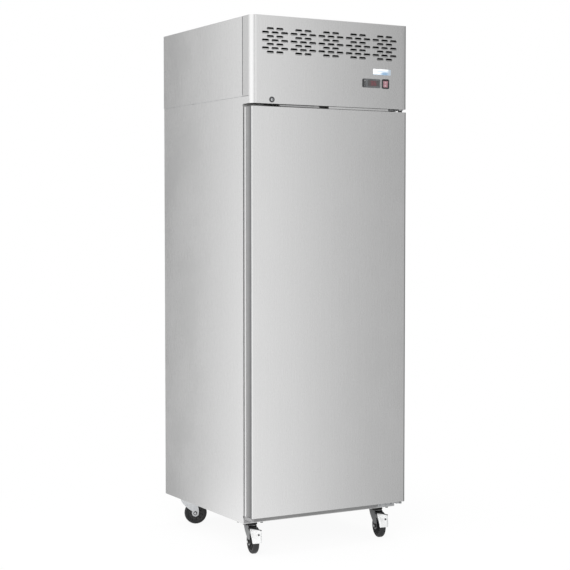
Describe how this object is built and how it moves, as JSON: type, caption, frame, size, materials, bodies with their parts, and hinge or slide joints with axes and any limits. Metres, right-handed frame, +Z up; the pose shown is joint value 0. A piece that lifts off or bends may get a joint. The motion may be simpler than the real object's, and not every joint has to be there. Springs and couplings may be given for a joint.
{
  "type": "reach in refrigerator",
  "caption": "Upright single-door stainless reach-in refrigerator on castors, with a slotted fascia over a full-height hinged door, wire shelves inside and a top-mounted cooling unit.",
  "frame": {"origin": "on the floor, under the middle of the cabinet's width and depth", "axes": "+Z up, -Y towards the door side, +X towards the hinge side"},
  "size_m": [0.68, 0.761, 2.006],
  "materials": {
    "stainless_outer": "fine vertical brushed stainless steel",
    "stainless_inner": "bright inner stainless steel",
    "stainless_fascia": "fine brushed stainless steel",
    "galvanised": "galvanised sheet, light spangle",
    "zinc_plate": "bright zinc plate",
    "foam": "rigid polyurethane foam",
    "black_enamel": "satin black enamel",
    "copper": "drawn copper tube, slightly dulled",
    "fin_aluminium": "bare aluminium fins",
    "black_plastic": "moulded black plastic",
    "grey_plastic": "moulded dark grey plastic",
    "grip_plastic": "extruded mid-grey plastic profile",
    "light_plastic": "moulded light grey plastic",
    "black_rubber": "matte black rubber",
    "gasket_grey": "soft grey vinyl gasket",
    "wire_coating": "plastic-coated steel wire",
    "display": "dark red display window",
    "rocker_red": "translucent red rocker",
    "badge": "plain white and pale blue plate"
  },
  "bodies": {
    "cabinet": {"outer_casing": "stainless_outer", "cabinet_foam": "foam", "inner_liner": "stainless_inner", "front_frame": "stainless_outer", "header_rail": "stainless_outer", "machine_side_panels": "stainless_outer", "machine_rear_panel": "galvanised", "unit_deck": "galvanised", "compressor": "black_enamel", "condenser_tubes": "copper", "condenser_fins": "fin_aluminium", "fan_shroud": "galvanised", "condenser_fan_motor": "black_enamel", "refrigerant_pipes": "copper", "control_box": "light_plastic", "power_cord": "black_rubber", "evaporator_coil": "fin_aluminium", "evaporator_cover": "stainless_inner", "evaporator_fan_motor": "black_enamel", "fan_guard": "wire_coating", "pilasters": "stainless_inner", "shelf_clips": "zinc_plate", "door_switch": "black_plastic", "top_hinge_bracket": "zinc_plate", "bottom_hinge_bracket": "zinc_plate", "hinge_screws": "zinc_plate", "castor_plates": "zinc_plate"},
    "condenser_fan": {"condenser_fan_blade": "black_plastic"},
    "evaporator_fan": {"evaporator_fan_blade": "black_plastic"},
    "upper_shelf": {"upper_shelf": "wire_coating"},
    "middle_shelf": {"middle_shelf": "wire_coating"},
    "lower_shelf": {"lower_shelf": "wire_coating"},
    "fascia": {"fascia_panel": "stainless_fascia", "air_filter": "black_plastic", "controller_body": "grey_plastic", "controller_lens": "display", "switch_bezel": "black_plastic", "badge_plate": "badge", "lock_body": "zinc_plate"},
    "set_button": {"button_set": "black_plastic"},
    "up_button": {"button_up": "black_plastic"},
    "down_button": {"button_down": "black_plastic"},
    "power_rocker": {"rocker": "rocker_red"},
    "lock_plug": {"lock_cylinder": "zinc_plate"},
    "door": {"door_skin": "stainless_outer", "door_foam": "foam", "door_liner": "stainless_inner", "door_gasket": "gasket_grey", "grip_profile": "grip_plastic", "hinge_bushes": "black_plastic"},
    "front_left_castor": {"front_left_fork": "zinc_plate"},
    "front_left_wheel": {"front_left_wheel": "black_rubber"},
    "front_left_brake": {"front_left_pedal": "light_plastic"},
    "front_right_castor": {"front_right_fork": "zinc_plate"},
    "front_right_wheel": {"front_right_wheel": "black_rubber"},
    "front_right_brake": {"front_right_pedal": "light_plastic"},
    "rear_left_castor": {"rear_left_fork": "zinc_plate"},
    "rear_left_wheel": {"rear_left_wheel": "black_rubber"},
    "rear_right_castor": {"rear_right_fork": "zinc_plate"},
    "rear_right_wheel": {"rear_right_wheel": "black_rubber"}
  },
  "joints": [
    {"name": "door_swing", "type": "hinge", "parent": "cabinet", "child": "door", "pos_m": [0.326, -0.3605, 0.9], "axis": [0, 0, 1], "range_deg": [0, 110]},
    {"name": "fascia_tilt", "type": "hinge", "parent": "cabinet", "child": "fascia", "pos_m": [0, -0.3631, 2], "axis": [-1, 0, 0], "range_deg": [0, 75]},
    {"name": "lock_turn", "type": "hinge", "parent": "fascia", "child": "lock_plug", "pos_m": [-0.2546, -0.3785, 1.699], "axis": [0, -1, 0], "range_deg": [0, 90]},
    {"name": "rocker_tip", "type": "hinge", "parent": "fascia", "child": "power_rocker", "pos_m": [0.2455, -0.3725, 1.7785], "axis": [-1, 0, 0], "range_deg": [0, 14]},
    {"name": "condenser_fan_spin", "type": "hinge", "parent": "cabinet", "child": "condenser_fan", "pos_m": [-0.09, -0.1455, 1.848], "axis": [0, 1, 0], "continuous": true},
    {"name": "evaporator_fan_spin", "type": "hinge", "parent": "cabinet", "child": "evaporator_fan", "pos_m": [0, -0.12, 1.541], "axis": [0, 0, 1], "continuous": true},
    {"name": "set_press", "type": "slide", "parent": "fascia", "child": "set_button", "axis": [0, 1, 0], "range_m": [0, 0.0008], "stiffness_N_per_m": 25},
    {"name": "up_press", "type": "slide", "parent": "fascia", "child": "up_button", "axis": [0, 1, 0], "range_m": [0, 0.0008], "stiffness_N_per_m": 25},
    {"name": "down_press", "type": "slide", "parent": "fascia", "child": "down_button", "axis": [0, 1, 0], "range_m": [0, 0.0008], "stiffness_N_per_m": 25},
    {"name": "upper_shelf_slide", "type": "slide", "parent": "cabinet", "child": "upper_shelf", "axis": [0, -1, 0], "range_m": [0, 0.015]},
    {"name": "middle_shelf_slide", "type": "slide", "parent": "cabinet", "child": "middle_shelf", "axis": [0, -1, 0], "range_m": [0, 0.015]},
    {"name": "lower_shelf_slide", "type": "slide", "parent": "cabinet", "child": "lower_shelf", "axis": [0, -1, 0], "range_m": [0, 0.015]},
    {"name": "front_left_swivel", "type": "hinge", "parent": "cabinet", "child": "front_left_castor", "pos_m": [-0.284, -0.2595, 0.11], "axis": [0, 0, 1], "continuous": true},
    {"name": "front_left_roll", "type": "hinge", "parent": "front_left_castor", "child": "front_left_wheel", "pos_m": [-0.29008, -0.29397, 0.046], "axis": [0.9848, -0.1736, 0], "continuous": true},
    {"name": "front_left_brake_lift", "type": "hinge", "parent": "front_left_castor", "child": "front_left_brake", "pos_m": [-0.2899, -0.29298, 0.092], "axis": [-0.9848, 0.1736, 0], "range_deg": [0, 22]},
    {"name": "front_right_swivel", "type": "hinge", "parent": "cabinet", "child": "front_right_castor", "pos_m": [0.284, -0.2595, 0.11], "axis": [0, 0, 1], "continuous": true},
    {"name": "front_right_roll", "type": "hinge", "parent": "front_right_castor", "child": "front_right_wheel", "pos_m": [0.27792, -0.29397, 0.046], "axis": [0.9848, -0.1736, 0], "continuous": true},
    {"name": "front_right_brake_lift", "type": "hinge", "parent": "front_right_castor", "child": "front_right_brake", "pos_m": [0.2781, -0.29298, 0.092], "axis": [-0.9848, 0.1736, 0], "range_deg": [0, 22]},
    {"name": "rear_left_swivel", "type": "hinge", "parent": "cabinet", "child": "rear_left_castor", "pos_m": [-0.275, 0.3075, 0.11], "axis": [0, 0, 1], "continuous": true},
    {"name": "rear_left_roll", "type": "hinge", "parent": "rear_left_castor", "child": "rear_left_wheel", "pos_m": [-0.24469, 0.29, 0.046], "axis": [0.5, 0.866, 0], "continuous": true},
    {"name": "rear_right_swivel", "type": "hinge", "parent": "cabinet", "child": "rear_right_castor", "pos_m": [0.275, 0.3075, 0.11], "axis": [0, 0, 1], "continuous": true},
    {"name": "rear_right_roll", "type": "hinge", "parent": "rear_right_castor", "child": "rear_right_wheel", "pos_m": [0.24819, 0.285, 0.046], "axis": [0.6428, -0.766, 0], "continuous": true}
  ]
}
